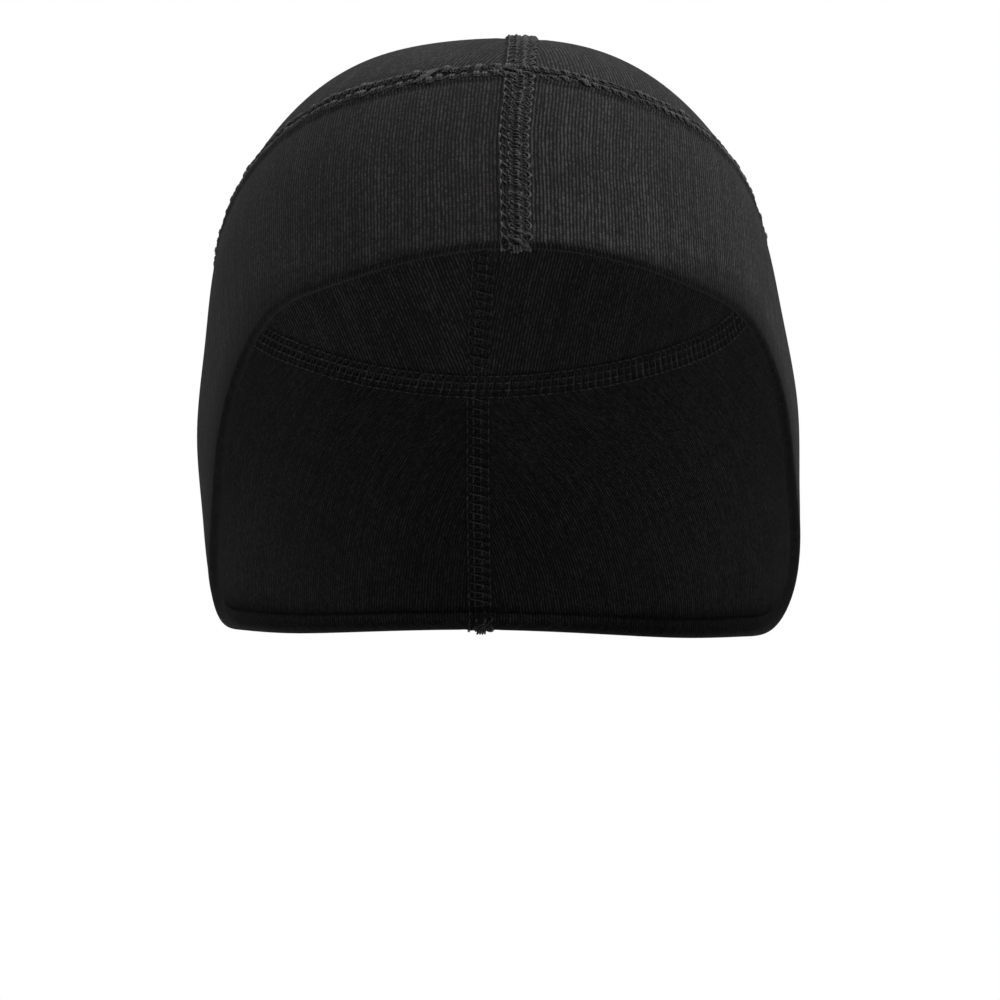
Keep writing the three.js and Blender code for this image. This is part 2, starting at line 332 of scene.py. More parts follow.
def relief(x, y):
    """Height of the cloth over its plain outside."""
    below, aside, above = seam_places(x, y)
    ring = bed(below)
    centre = bed(aside)
    over = np.where(np.abs(ring) > np.abs(centre), ring, centre)
    turn = np.arctan2(x, -y) / DEGREE
    round_length = turn * DEGREE * ROUND_RADIUS
    down_length = y * DEGREE * CROWN_HEIGHT
    ripple = puckers(round_length, below) + puckers(down_length, aside)
    hem = HEM_BULGE * (1 - ease(HEM_TURN - HEM_SWELL, HEM_TURN + HEM_SWELL, above))
    ridge = RIDGE_HEIGHT * np.exp(-(((above - HEM_TURN + RIDGE_INSET) / RIDGE_WIDTH) ** 2))
    calm = ease(0, HEM_TURN, above)
    return over + ripple * calm + hem + ridge


def inside_bed(below, aside):
    """Height of the cloth's inside over the seams."""
    return bed(np.minimum(np.abs(below), np.abs(aside))) * BED_INSIDE / BED_HEIGHT


def ducked(past):
    """How far a panel's edge dips below its neighbour, by distance past the seam's middle."""
    return EDGE_DUCK * ease(EDGE_DUCK_FROM, EDGE_LAP, past)


SEAT = cloth_point(np.array(0.0), np.array(0.0), -(KNIT_WALL + SEAM_INSIDE))


def in_part(points):
    """Millimetres from the middle of the head to metres in the part's frame."""
    return (points - SEAT) * MM


def bunched(count, pull):
    """Shares from 0 to 1 that lie closer together near both ends."""
    share = np.linspace(0, 1, count)
    return share - pull * np.sin(2 * np.pi * share) / (2 * np.pi)


def new_object(name, data):
    thing = bpy.data.objects.new(name, data)
    bpy.context.scene.collection.objects.link(thing)
    return thing


def make_piece(name, points, faces, maps):
    """A closed mesh of four-cornered faces. Each map has one value a face corner."""
    a, b, c, d = (points[faces[:, k]] for k in range(4))
    volume = np.einsum("ij,ij->i", a, np.cross(b, c) + np.cross(c, d)).sum()
    if volume < 0:
        faces = faces[:, ::-1]
        maps = {
            key: value.reshape(-1, 4, 2)[:, ::-1].reshape(-1, 2)
            for key, value in maps.items()
        }
    mesh = bpy.data.meshes.new(name)
    mesh.vertices.add(len(points))
    mesh.vertices.foreach_set("co", points.astype(np.float32).ravel())
    mesh.loops.add(faces.size)
    mesh.loops.foreach_set("vertex_index", faces.astype(np.int32).ravel())
    mesh.polygons.add(len(faces))
    starts = np.arange(0, faces.size, 4, dtype=np.int32)
    mesh.polygons.foreach_set("loop_start", starts)
    mesh.update(calc_edges=True)
    for key, value in maps.items():
        layer = mesh.uv_layers.new(name=key)
        layer.data.foreach_set("uv", value.astype(np.float32).ravel())
    mesh.polygons.foreach_set("use_smooth", np.ones(len(faces), bool))
    return new_object(name, mesh)


def grid_faces(grid):
    """Faces between the neighbouring corner numbers of a grid."""
    corners = [grid[:-1, :-1], grid[1:, :-1], grid[1:, 1:], grid[:-1, 1:]]
    return np.stack(corners, -1).reshape(-1, 4)


def lengths_along(points, axis):
    """Length from the start of each line of a grid of points."""
    steps = np.linalg.norm(np.diff(points, axis=axis), axis=-1)
    start = np.zeros_like(np.take(steps, [0], axis=axis))
    return np.concatenate([start, np.cumsum(steps, axis=axis)], axis=axis)


def shell_piece(name, outer, inner, maps):
    """A closed shell between two grids of points, with the same maps on both."""
    rows, columns = outer.shape[:2]
    count = rows * columns
    front = np.arange(count).reshape(rows, columns)
    back = front + count
    rim = np.concatenate([front[0, :-1], front[:-1, -1], front[-1, :0:-1], front[:0:-1, 0]])
    after = np.roll(rim, -1)
    border = np.stack([rim, after, after + count, rim + count], -1)
    faces = np.concatenate([grid_faces(front), grid_faces(back)[:, ::-1], border])
    points = np.concatenate([outer.reshape(-1, 3), inner.reshape(-1, 3)])
    both = {
        key: np.concatenate([value.reshape(-1, 2)] * 2)[faces.ravel()]
        for key, value in maps.items()
    }
    piece = make_piece(name, in_part(points), faces, both)
    piece.data.set_sharp_from_angle(angle=SHARP_ANGLE * DEGREE)
    return piece


def sewn_map(x, y):
    """Map of the distance to the nearest seam and to the hem, in millimetres."""
    below, aside, above = seam_places(x, y)
    return np.stack([np.minimum(np.abs(below), np.abs(aside)), above], -1)


def hem_section(foot, tip, lift):
    """Middle of the hem's round edge, half its thickness, and directions out and down."""
    start = outside_point(*foot)
    out = outwards(*foot)
    fall = outside_point(*tip) - start
    fall = unit(fall - (fall * out).sum(-1, keepdims=True) * out)
    outer_half = ((lift + HEM_WALL - HEM_BULGE) / 2)[..., None]
    middle = start - out * (HEM_WALL - HEM_BULGE - outer_half)
    return middle, outer_half, out, fall


# The panels

def band_panel(name, side):
    """Half of the band, from the front seam round the ear to the back seam."""
    shares = bunched(BAND_ROWS, BAND_ROW_PULL)[:, None]
    spread = bunched(BAND_COLUMNS, BAND_COLUMN_PULL)[None, :]
    half = HEM_WALL / 2
    turn = 180 * spread + 0 * shares
    for _ in range(ROUNDS):
        top = beside_seam(turn, -EDGE_LAP)
        bottom = above_hem(turn, half)
        down = mix(top, bottom, shares)
        start = -np.arcsin(EDGE_LAP * degrees_aside(-down) / down) / DEGREE
        end = 180 + np.arcsin(EDGE_LAP * degrees_aside(down) / down) / DEGREE
        turn = mix(start, end, spread)
    x, y = spot_at(down, side * turn)
    below, aside, above = seam_places(x, y)
    past = np.maximum(-below, -side * aside)
    raised = cloth_point(x, y, relief(x, y) - ducked(past))
    inside_turn = 1 - ease(HEM_TURN - HEM_STEP / 2, HEM_TURN + HEM_STEP / 2, above)
    thick = mix(KNIT_WALL, HEM_WALL - HEM_BULGE, inside_turn)
    lining = cloth_point(x, y, -(thick + inside_bed(below, aside)))

    # The hem's round edge, from the outside and from the inside towards its tip
    foot = (x[-1:], y[-1:])
    tip = spot_at(above_hem(turn[-1:], 0), side * turn[-1:])
    middle, outer_half, out, fall = hem_section(foot, tip, relief(*foot))
    angles = np.linspace(0, np.pi / 2, HEM_STEPS + 1)[1:-1]
    angles = np.append(angles, np.pi / 2 - HEM_TIP_GAP)[:, None, None]
    centres = middle + half * np.sin(angles) * fall
    reach = outer_half * np.cos(angles) * out
    outer = np.concatenate([raised, centres + reach])
    inner = np.concatenate([lining, centres - reach])

    weave = np.stack([lengths_along(outer, 1), lengths_along(outer, 0)], -1)
    sewn = sewn_map(x, y)
    edge = np.repeat(sewn[-1:], len(angles), 0)
    edge[..., 1] = half * (1 - np.sin(angles[..., 0]))
    maps = {"weave": weave, "sewn": np.concatenate([sewn, edge])}
    return shell_piece(name, outer, inner, maps)


# Where the far corners of a crown panel lie round the cross seam, and how far the wales
# of each half slant
RIM_FRONT = 45
RIM_BACK = 135
LEFT_BIAS = 24
RIGHT_BIAS = 9


def crown_corner(facing):
    """Where the edge of a crown panel turns from the cross seam to the centre seam."""
    turn = 0.0
    for _ in range(ROUNDS):
        down = beside_seam(turn if facing < 0 else 180 - turn, EDGE_LAP)
        turn = -np.arcsin(EDGE_LAP * degrees_aside(facing * down) / down) / DEGREE
    return turn if facing < 0 else 180 - turn


def crown_panel(name, side):
    """Half of the crown, between the centre seam and the cross seam."""
    front_turn = crown_corner(-1)
    back_turn = crown_corner(1)

    def rim(turn):
        return np.stack(spot_at(beside_seam(turn, EDGE_LAP), turn), -1)

    t = bunched(CROWN_COLUMNS, CROWN_COLUMN_PULL)[:, None]
    s = bunched(CROWN_ROWS, CROWN_ROW_PULL)[None, :]
    front_corner = rim(front_turn)
    back_corner = rim(back_turn)
    along = mix(front_corner[1], back_corner[1], t)
    centre = np.stack([-EDGE_LAP * degrees_aside(along), along], -1)
    far = rim(mix(RIM_FRONT, RIM_BACK, t))
    front = rim(mix(front_turn, RIM_FRONT, s))
    back = rim(mix(back_turn, RIM_BACK, s))
    near_corners = mix(front_corner, back_corner, t[..., None])
    far_corners = mix(rim(RIM_FRONT), rim(RIM_BACK), t[..., None])
    spots = mix(centre, far, s[..., None]) + mix(front, back, t[..., None])
    spots = spots - mix(near_corners, far_corners, s[..., None])
    x = side * spots[..., 0]
    y = spots[..., 1]
    below, aside, _ = seam_places(x, y)
    past = np.maximum(below, -side * aside)
    outer = cloth_point(x, y, relief(x, y) - ducked(past))
    inner = cloth_point(x, y, -(KNIT_WALL + inside_bed(below, aside)))

    direction = spot_direction(x, y)
    aside_length = np.arcsin(np.clip(direction[..., 0], -1, 1)) * CROWN_HEIGHT
    along_length = np.arctan2(direction[..., 1], direction[..., 2]) * CROWN_HEIGHT
    bias = (LEFT_BIAS if side < 0 else RIGHT_BIAS) * DEGREE
    across = aside_length * np.cos(bias) + side * along_length * np.sin(bias)
    length = along_length * np.cos(bias) - side * aside_length * np.sin(bias)
    maps = {"weave": np.stack([across, length], -1), "sewn": sewn_map(x, y)}
    return shell_piece(name, outer, inner, maps)


# Seams as lines: each gives spots for places along and across it, in millimetres

TABLE_STEPS = 1441


def ring_line():
    """Spots beside the cross seam, by length round from the back over -X and the front."""
    turns = np.linspace(-180, 180, TABLE_STEPS)
    centre = outside_point(*spot_at(seam_down(turns), turns))
    lengths = lengths_along(centre, 0)
    slants = line_slant(seam_down, turns)

    def spot(along, across):
        wrapped = np.mod(along, lengths[-1])
        slant = np.interp(wrapped, lengths, slants)
        turn = np.interp(np.mod(along - across * slant, lengths[-1]), lengths, turns)
        return spot_at(beside_seam(turn, across), turn)

    return spot, lengths[-1]


def centre_line(start, end):
    """Spots beside the centre seam between two places along it, in degrees."""
    places = np.linspace(start, end, TABLE_STEPS)
    centre = outside_point(np.zeros_like(places), places)
    lengths = lengths_along(centre, 0)

    def spot(along, across):
        place = np.interp(along, lengths, places)
        return across * degrees_aside(place), place

    return spot, lengths[-1]


def over_cloth(spot):
    """Points and directions over the outside of the cloth along a seam line."""

    def place(along, across, height):
        x, y = spot(along, across)
        out = outwards(x, y)
        lift = np.maximum(relief(x, y), 0) + height
        return outside_point(x, y) + out * lift[..., None], out

    return place


def under_cloth(spot):
    """The same on the inside of the cloth."""

    def place(along, across, height):
        x, y = spot(along, across)
        out = outwards(x, y)
        depth = KNIT_WALL + BED_INSIDE + height
        return outside_point(x, y) - out * depth[..., None], -out

    return place


def round_hem(spot, length):
    """Over the outside to the seam's end, round the turned edge and up the inside."""
    over = over_cloth(spot)
    half = HEM_WALL / 2
    last = length - half

    def place(along, across, height):
        near, near_out = over(np.minimum(along, last), across, height)
        foot = spot(np.full_like(along, last), across)
        tip = spot(np.full_like(along, length), across)
        lift = np.maximum(relief(*foot), 0)
        middle, outer_half, out, fall = hem_section(foot, tip, lift)
        past = np.maximum(along - last, 0)
        angle = np.minimum(past / half, np.pi)[..., None]
        climb = np.maximum(past - half * np.pi, 0)[..., None]
        height = height[..., None]
        reach_out = np.cos(angle) * (outer_half + height)
        reach_down = np.sin(angle) * (half + height) - climb
        far = middle + reach_out * out + reach_down * fall
        far_out = np.cos(angle) * out + np.sin(angle) * fall
        there = (past > 0)[..., None]
        return np.where(there, far, near), np.where(there, far_out, near_out)

    return place


class Threads:
    """Threads gathered into one piece."""

    def __init__(self):
        self.points = []
        self.faces = []
        self.lay = []
        self.lift = []
        self.count = 0

    def tube(self, path, out, radius, sides, height):
        """One closed thread along a path. Its height over the cloth, with the upper side of the
        tube, sets its painted highlight.
        """
        along = unit(np.gradient(path, axis=0))
        aside = unit(np.cross(along, out))
        up = np.cross(aside, along)
        angles = 2 * np.pi * (np.arange(sides) + 0.5) / sides
        spokes = np.cos(angles)[None, :, None] * aside[:, None]
        spokes = spokes + np.sin(angles)[None, :, None] * up[:, None]
        radius = np.broadcast_to(radius, len(path))
        points = path[:, None] + spokes * radius[:, None, None]
        steps = len(path)
        grid = self.count + np.arange(steps * sides).reshape(steps, sides)
        closed = np.concatenate([grid, grid[:, :1]], 1)
        walls = grid_faces(closed)
        caps = []
        for ring in (grid[0], grid[-1][::-1]):
            for k in range(1, sides - 2, 2):
                caps.append([ring[0], ring[k], ring[k + 1], ring[k + 2]])
        length = lengths_along(path, 0)
        lay_u = np.repeat(length[:, None], sides + 1, 1)
        lay_v = np.repeat(np.linspace(0, 1, sides + 1)[None, :], steps, 0)
        tall = height[:, None] + np.sin(angles)[None, :] * radius[:, None]
        tall = np.concatenate([tall, tall[:, :1]], 1)
        flat_faces = grid_faces(np.arange(steps * (sides + 1)).reshape(steps, sides + 1))
        lay = np.stack([lay_u.ravel(), lay_v.ravel()], -1)[flat_faces.ravel()]
        lift = np.stack([tall.ravel(), lay_u.ravel()], -1)[flat_faces.ravel()]
        cap_corners = len(caps) * 4
        self.points.append(points.reshape(-1, 3))
        self.faces += [walls, np.array(caps)]
        self.lay += [lay, np.zeros((cap_corners, 2))]
        self.lift += [lift, np.zeros((cap_corners, 2))]
        self.count += steps * sides

    def piece(self, name):
        maps = {"lay": np.concatenate(self.lay), "lift": np.concatenate(self.lift)}
        points = in_part(np.concatenate(self.points))
        return make_piece(name, points, np.concatenate(self.faces), maps)


# Differences are drawn a few stitches beyond both ends of a thread
DRAWN_BEFORE = 2
DRAWN_AFTER = 4
SEED = 41

rng = np.random.default_rng(SEED)


def unevenness(along, pitch, amount, length):
    """Small differences from stitch to stitch, smooth along the thread."""
    knots = np.arange(-DRAWN_BEFORE, int(length / pitch) + DRAWN_AFTER) * pitch
    return np.interp(along, knots, rng.normal(0, amount, len(knots)))


# Stitches

PITCH = 2.7
RING_PITCH = 2.4
SEAM_CLEAR = 1.4
RING_CLEAR = 2.8
OUTER_SIDES = 6
INNER_SIDES = 4

# The needle rows of a flat seam, across its width: where each lies, how long a knot is
# beside the pitch, how high the knot and the thread between stand, how far they zigzag,
# and how uneven they are. The inner row says the same but for its place.
NEEDLE_ROWS = (
    (-3.05, 0.2, 0.52, 0.22, 0.12, 0.1),
    (-1.3, 0.13, 0.55, -0.08, 0.03, 0.1),
    (0.9, 0.17, 0.45, 0.05, 0.15, 0.25),
    (3.0, 0.22, 0.5, 0.26, 0.36, 0.12),
)
INNER_ROW = (0.3, 0.3, 0.05, 0.03, 0.05)
NEEDLE_SAMPLES = 12
INNER_SAMPLES = 6
ROW_START = 0.3
ROW_SHIFT = 0.1
ROW_SWELL = 0.14
KNOT_RADIUS = 0.27
THIN_RADIUS = 0.15
HOLE_DEPTH = 0.3
HOLE_SPAN = 0.12

# The cover threads between the second row and the last: strands a pitch, how far each
# leans, how high it stands over and back, how uneven it is, and the beads along it
COVER_STRANDS = 4
COVER_LEAN = 1.0
COVER_RADIUS = 0.16
COVER_HEIGHTS = (0.12, -0.06)
COVER_ROUGH = 0.24
COVER_SAMPLES = 20
COVER_BEADS = 2.6
BEAD_RISE = 0.17
BEAD_SWELL = 0.3

# A cover thread's stroke over the seam: its share of the pitch, how far it is cut short,
# height and thickness of its ends, what its middle has more, and thickness on the way back
STROKE = 0.6
STROKE_CUT = 0.12
STROKE_FOOT = 0.35
STROKE_THIN = 0.75
STROKE_BULGE = 0.4
STROKE_BACK = 0.6

# Lean and heights of the strand between the first two rows, and of those inside
SIDE_LEAN = 0.8
SIDE_HEIGHTS = (0.02, -0.1)
INSIDE_LEAN = 0.6
INSIDE_HEIGHTS = (0.35, 0.15)

# The rows of the crown seam lie flatter than those of the brow
CROWN_ROW_RISE = 0.55

# Threads that end at the hem get painted shade towards it, as their painted highlight fades,
# turn round it and stop this far up the inside. The inner threads stop before the hem.
HEM_RETURN = 3.4
HEM_SHADE_SPAN = (-5.5, -1)
HEM_SHADE_TONE = 0.25
INNER_CLEAR = 5.5

# The knot of thread where a seam ends at the hem. Its lift is the height that sets its painted
# highlight, which here is none
KNOT_PAST = 0.45
KNOT_ASIDE = 0.2
KNOT_REACH = 0.7
KNOT_TURNS = 3
KNOT_STEPS = 14
KNOT_WIDTH = 2.1
KNOT_THREAD = 0.3
KNOT_LIFT = -0.05


def even_tone(along):
    return np.ones_like(along)


def needle_row(threads, place, start, end, pitch, across, row, inner=False, tone=even_tone):
    """A row of stitches: a knot each pitch, a thin thread between, and needle holes."""
    span, high, low, zig, rough = row
    sides = INNER_SIDES if inner else OUTER_SIDES
    along = np.arange(start, end, pitch / (INNER_SAMPLES if inner else NEEDLE_SAMPLES))
    phase = (along - start) / pitch
    from_knot = np.abs(np.mod(phase, 1) - 0.5)
    knot = np.exp(-((from_knot / span) ** 2))
    hole = np.exp(-(((0.5 - from_knot) / HOLE_SPAN) ** 2))
    swell = 1 + unevenness(along, pitch, ROW_SWELL, end)
    height = mix(low, high, knot * swell) - HOLE_DEPTH * hole
    aside = across - zig * np.cos(2 * np.pi * phase) + unevenness(along, pitch, rough, end)
    shift = unevenness(along, pitch, ROW_SHIFT + rough, end)
    path, out = place(along + shift, aside, height)
    radius = mix(THIN_RADIUS, KNOT_RADIUS, knot) * swell
    threads.tube(path, out, radius, sides, height * tone(along))


def cover_row(threads, place, start, end, pitch, edges, lean, radius, heights, samples, sides,
              twins=(0,), rough=0.1, beads=0, tone=even_tone):
    """Threads that cross between two edges: over in a long beaded stroke, and back low."""
    count = int((end - start) / pitch)
    t = np.arange(count * samples + 1) / samples
    share = np.mod(t, 1)
    going = share < STROKE
    reach = np.where(going, share / STROKE, (1 - share) / (1 - STROKE))
    base = start + pitch * np.floor(t)
    leaning = lean(base) if callable(lean) else lean
    along = base + pitch * np.where(going, leaning * reach, 1 + (leaning - 1) * reach)
    aside = mix(*edges, ease(-STROKE_CUT, 1 + STROKE_CUT, reach))
    bulge = np.sin(np.pi * np.clip(reach, 0, 1))
    high, low = heights
    swell = 1 + unevenness(base, pitch, rough, end)
    bead = np.cos(2 * np.pi * beads * (reach - 0.5)) if beads else np.zeros_like(reach)
    height = high * mix(STROKE_FOOT, 1, bulge) * swell + BEAD_RISE * bead
    height = np.where(going, height, low * bulge + STROKE_FOOT * high * (1 - bulge))
    aside = aside + unevenness(along, pitch, rough, end)
    along = along + unevenness(along, pitch, rough, end)
    thickness = radius(base) if callable(radius) else radius
    stroke = (STROKE_THIN + STROKE_BULGE * bulge) * (1 + BEAD_SWELL * bead)
    thick = thickness * np.where(going, stroke, STROKE_BACK) * swell
    for twin in twins:
        path, out = place(along + twin, aside, height)
        threads.tube(path, out, thick, sides, height * tone(along))


def thread_knot(threads, place, along, across):
    """A small coil of thread where a seam ends at the hem."""
    ends = across + np.array([-0.5, 0.5]) * KNOT_WIDTH
    centres, outs = place(np.full(2, float(along)), ends, np.full(2, KNOT_REACH / 2))
    axis = centres[1] - centres[0]
    third = unit(np.cross(axis, outs[0]))
    turns = np.linspace(0, 2 * np.pi * KNOT_TURNS, KNOT_STEPS * KNOT_TURNS)[:, None]
    spokes = np.cos(turns) * outs[0] + np.sin(turns) * third
    path = centres[0] + axis * turns / turns[-1] + spokes * KNOT_REACH
    threads.tube(path, spokes, KNOT_THREAD, OUTER_SIDES, np.full(len(path), KNOT_LIFT))


def flat_seam(name, spot, length, end_clear, rise=1.0):
    """Four needle rows with cover threads between them, and the same plainly inside.

    Without a clearance at its end, the seam runs out over the hem and turns under. The
    rise is how high the rows stand beside those of the brow."""
    threads = Threads()
    start = SEAM_CLEAR
    over = over_cloth(spot)
    end = length - end_clear
    inner_end = length - RING_CLEAR
    tone = even_tone
    if not end_clear:
        over = round_hem(spot, length)
        end = length + HEM_WALL / 2 * (np.pi - 1) + HEM_RETURN
        inner_end = length - INNER_CLEAR
        thread_knot(threads, over, length + KNOT_PAST, KNOT_ASIDE)

        # Painted shade on the threads near the hem: their painted highlight fades
        def tone(along):
            return mix(1, HEM_SHADE_TONE, ease(*HEM_SHADE_SPAN, along - length))

    under = under_cloth(spot)
    for across, span, high, *row in NEEDLE_ROWS:
        begin = start - rng.uniform(0, ROW_START) * PITCH
        row = (span, high * rise, *row)
        needle_row(threads, over, begin, end, PITCH, across, row, tone=tone)
        needle_row(threads, under, RING_CLEAR, inner_end, PITCH, across, INNER_ROW, inner=True)
    first, second, _, last = (row[0] for row in NEEDLE_ROWS)
    for k in range(COVER_STRANDS):
        cover_row(
            threads, over, start + PITCH * k / COVER_STRANDS, end - PITCH, PITCH,
            (second, last), COVER_LEAN, COVER_RADIUS, COVER_HEIGHTS, COVER_SAMPLES, OUTER_SIDES,
            rough=COVER_ROUGH, beads=COVER_BEADS, tone=tone,
        )
    cover_row(
        threads, over, start, end - PITCH, PITCH, (first, second), SIDE_LEAN, COVER_RADIUS,
        SIDE_HEIGHTS, COVER_SAMPLES, INNER_SIDES, rough=COVER_ROUGH, beads=1, tone=tone,
    )
    cover_row(
        threads, under, RING_CLEAR, inner_end, PITCH, (first, last), INSIDE_LEAN, COVER_RADIUS,
        INSIDE_HEIGHTS, COVER_SAMPLES, INNER_SIDES,
    )
    return threads.piece(name)


# The ropes of the cross seam: twin strands that slant one way to the left of the front
# seam and the other way to its right, and are bolder between the tuck and the front seam
ROPE_INNER = 0.42
ROPE_OUTER = 2.6
ROPE_RADIUS = 0.22
ROPE_TWINS = (-0.32, 0.32)
ROPE_HEIGHTS = (0.36, 0.08)
ROPE_SAMPLES = 12
ROPE_BEADS = 1.7
ROPE_LEFT_LEANS = (0.45, -0.1)
ROPE_RIGHT_LEANS = (-0.8, 0.8)
ROPE_CHANGE = (-3, 8)
ROPE_ROUGH = 0.26
ROPE_BOLD = 1.18
ROPE_BOLD_RISE = (-19, -15)
ROPE_BOLD_FALL = (-4, 0)

# How far from its middle the needle rows of the cross seam lie inside
RING_ROWS = (2.9, 1.0)

# Between these lengths from the front the ropes sink, and darken as their painted highlight
# weakens, each by a share
ROPE_SUNK = 0.7
ROPE_SUNK_FROM = (35, 75)
ROPE_SIDE_DARK = 0.35
ROPE_DARK_FROM = (10, 30)

# Loose strands over the crossing of the two front seams: how many, how far along and
# across the seam they start, how long they are and how far they turn from it
TANGLE_COUNT = 20
TANGLE_REACH = (4.2, 2.4)
TANGLE_LENGTHS = (1.6, 3.6)
TANGLE_TURNS = (-10, 55)
TANGLE_RADIUS = 0.2
TANGLE_HEIGHT = 0.5
TANGLE_HEIGHTS = (0.8, 1.2)
TANGLE_ARCH = 0.6
TANGLE_ENDS = 0.6
TANGLE_STEPS = 10

# A tuck in the cross seam to the left of the front seam, and the strands that show there:
# how far each lies along, and its size and height
TUCK_BEFORE = 18.5
TUCK_HALF = 2.8
TUCK_EDGES = (2.0, -2.2)
TUCK_RADIUS = 0.5
TUCK_STRANDS = ((0, 1, 0.3), (0.75, 0.55, 0.2), (-0.7, 0.45, 0.15))
TUCK_STEPS = 24
TUCK_TIP = 0.04
TUCK_LIFT = 0.25


def ring_seam(name):
    """Two ropes of slanting stitches with a groove between them, all round the cap."""
    spot, length = ring_line()
    pitch = length / round(length / RING_PITCH)
    threads = Threads()
    proud = over_cloth(spot)
    under = under_cloth(spot)
    front = length / 2

    def over(along, across, height):
        sunk = ROPE_SUNK * ease(*ROPE_SUNK_FROM, np.abs(along - front))
        return proud(along, across, height * (1 - sunk))

    # The ropes' painted highlight weakens away from the front
    def rope_tone(along):
        return 1 - ROPE_SIDE_DARK * ease(*ROPE_DARK_FROM, np.abs(along - front))

    def radius(along):
        past = along - front
        bold = ease(*ROPE_BOLD_RISE, past) - ease(*ROPE_BOLD_FALL, past)
        return ROPE_RADIUS * mix(1, ROPE_BOLD, bold)

    for sign, *leans in zip((-1, 1), ROPE_LEFT_LEANS, ROPE_RIGHT_LEANS):

        def lean(along):
            return mix(*leans, ease(*ROPE_CHANGE, along - front))

        edges = (sign * ROPE_INNER, sign * ROPE_OUTER)
        cover_row(
            threads, over, 0, length, pitch, edges, lean, radius, ROPE_HEIGHTS, ROPE_SAMPLES,
            OUTER_SIDES, ROPE_TWINS, ROPE_ROUGH, ROPE_BEADS, rope_tone,
        )
        for across in RING_ROWS:
            needle_row(threads, under, 0, length, pitch, sign * across, INNER_ROW, inner=True)
    edges = (-RING_ROWS[0], RING_ROWS[0])
    cover_row(
        threads, under, 0, length, pitch, edges, INSIDE_LEAN, COVER_RADIUS, INSIDE_HEIGHTS,
        ROPE_SAMPLES, INNER_SIDES,
    )
    for _ in range(TANGLE_COUNT):
        along, across = rng.uniform(-1, 1, 2) * TANGLE_REACH
        reach = (np.linspace(0, 1, TANGLE_STEPS) - 0.5) * rng.uniform(*TANGLE_LENGTHS)
        heading = rng.uniform(*TANGLE_TURNS) * DEGREE
        arch = np.sin(np.linspace(0, np.pi, TANGLE_STEPS)) ** TANGLE_ARCH
        lift = TANGLE_HEIGHT * rng.uniform(*TANGLE_HEIGHTS) * arch
        path, out = over(
            front + along + reach * np.cos(heading), across + reach * np.sin(heading), lift
        )
        threads.tube(path, out, TANGLE_RADIUS * mix(TANGLE_ENDS, 1, arch), OUTER_SIDES, lift)
    share = np.linspace(0, 1, TUCK_STEPS)
    taper = np.sqrt(np.sin(np.pi * np.clip(share, TUCK_TIP, 1 - TUCK_TIP)))
    for offset, size, height in TUCK_STRANDS:
        along = front - TUCK_BEFORE + TUCK_HALF * (2 * share - 1) + offset
        across = mix(*TUCK_EDGES, ease(0, 1, share))
        lift = height * taper + TUCK_LIFT
        path, out = over(along, across, lift)
        threads.tube(path, out, TUCK_RADIUS * size * taper, OUTER_SIDES, lift)
    return threads.piece(name)


# Materials

# The range that a noise mostly keeps to, and what a finish lists
NOISE_RANGE = (0.3, 0.7)
FINISH = ("Roughness", "Specular IOR Level", "Sheen Weight", "Sheen Roughness", "Sheen Tint")


class Nodes:
    """Short ways to add shader nodes to a material."""

    def __init__(self, name):
        self.material = bpy.data.materials.new(name)
        self.material.use_nodes = True
        self.tree = self.material.node_tree
        self.shader = self.tree.nodes["Principled BSDF"]

    def put(self, socket, value):
        if isinstance(value, bpy.types.NodeSocket):
            self.tree.links.new(value, socket)
        else:
            socket.default_value = value

    def add(self, kind, *values, **settings):
        """A new node with these settings and with its first inputs filled in order."""
        node = self.tree.nodes.new("ShaderNode" + kind)
        for name, setting in settings.items():
            setattr(node, name, setting)
        for socket, value in zip(node.inputs, values):
            self.put(socket, value)
        return node

    def math(self, operation, a, b=0.0, c=0.0):
        return self.add("Math", a, b, c, operation=operation).outputs[0]

    def plus(self, a, b):
        return self.math("ADD", a, b)

    def times(self, first, *others):
        for value in others:
            first = self.math("MULTIPLY", first, value)
        return first

    def from_half(self, value):
        """Distance of a value from the middle between its two whole numbers."""
        return self.math("ABSOLUTE", self.math("SUBTRACT", self.math("FRACT", value), 0.5))

    def uv(self, name):
        return self.add("UVMap", uv_map=name).outputs[0]

    def split(self, vector):
        return self.add("SeparateXYZ", vector).outputs[:2]

    def join(self, x, y, z=0.0):
        return self.add("CombineXYZ", x, y, z).outputs[0]

    def scaled(self, x, y, x_scale, y_scale, z=0.0):
        return self.join(self.times(x, x_scale), self.times(y, y_scale), z)

    def noise(self, vector, scale=1.0, detail=2.0, roughness=0.5):
        node = self.add("TexNoise", vector)
        for name, value in (("Scale", scale), ("Detail", detail), ("Roughness", roughness)):
            node.inputs[name].default_value = value
        return node.outputs[0]

    def shade(self, vector, scale, detail, roughness, low, high):
        """Noise that runs from low to high."""
        return self.spread(self.noise(vector, scale, detail, roughness), *NOISE_RANGE, low, high)

    def chance(self, vector, low, high):
        """A random number from low to high for each place."""
        node = self.add("TexWhiteNoise", vector, noise_dimensions="3D")
        return self.spread(node.outputs["Value"], 0.0, 1.0, low, high)

    def place(self):
        return self.add("TexCoord").outputs["Object"]

    def spread(self, value, *ends):
        """A value between the first two ends, spread between the last two."""
        return self.add("MapRange", value, *ends, clamp=True).outputs[0]

    def blend(self, share, a, b):
        node = self.add("Mix", share, data_type="RGBA")
        self.put(node.inputs["A"], a)
        self.put(node.inputs["B"], b)
        return node.outputs["Result"]

    def scale(self, colour, factor):
        node = self.add("VectorMath", colour, operation="SCALE")
        self.put(node.inputs["Scale"], factor)
        return node.outputs[0]

    def bump(self, height, distance, strength):
        """Bump the surface, with the distance in millimetres."""
        node = self.add("Bump", strength, distance * MM)
        self.put(node.inputs["Height"], height)
        self.put(self.shader.inputs["Normal"], node.outputs[0])

    def finish(self, colour, *values):
        """Colour the shader and set its plain sockets."""
        self.put(self.shader.inputs["Base Color"], colour)
        for name, value in zip(FINISH, values):
            self.shader.inputs[name].default_value = value
        return self.material


